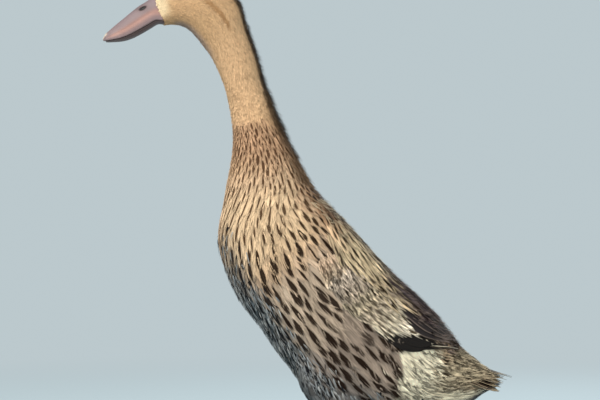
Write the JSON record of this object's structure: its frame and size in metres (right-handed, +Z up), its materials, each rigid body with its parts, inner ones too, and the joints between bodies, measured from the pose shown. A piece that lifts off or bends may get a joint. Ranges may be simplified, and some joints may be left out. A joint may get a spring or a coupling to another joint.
{
  "type": "museum model of a loumen duck",
  "caption": "Life-size still model of an upright laying duck with mottled brown plumage, standing on webbed feet.",
  "frame": {"origin": "on the floor, at the middle of the bird's length and width", "axes": "+Z up, -Y the way the bird faces, +X its left side"},
  "size_m": [0.128, 0.4251, 0.5329],
  "materials": {
    "plumage_buff": "soft cinnamon-buff down of the head and neck, matt",
    "plumage_mottled": "brown and pinkish-buff contour and flight feathers, matt with a faint silky sheen",
    "bill_horn": "leathery bill skin, dull pinkish grey, semi-matt",
    "eye": "wet glossy dark brown",
    "leg_skin": "scaly dull orange-brown skin, semi-matt",
    "claw_horn": "dark horn, smooth"
  },
  "bodies": {
    "root": {"head": "plumage_buff", "neck": "plumage_buff", "torso": "plumage_mottled", "tail": "plumage_mottled", "bill_upper": "bill_horn", "bill_lower": "bill_horn", "eye_left": "eye", "wing_left": "plumage_mottled", "thigh_left": "plumage_mottled", "shank_left": "leg_skin", "foot_left": "leg_skin", "claw_left_inner": "claw_horn", "claw_left_middle": "claw_horn", "claw_left_outer": "claw_horn", "claw_left_hind": "claw_horn", "eye_right": "eye", "wing_right": "plumage_mottled", "thigh_right": "plumage_mottled", "shank_right": "leg_skin", "foot_right": "leg_skin", "claw_right_inner": "claw_horn", "claw_right_middle": "claw_horn", "claw_right_outer": "claw_horn", "claw_right_hind": "claw_horn"}
  },
  "joints": []
}
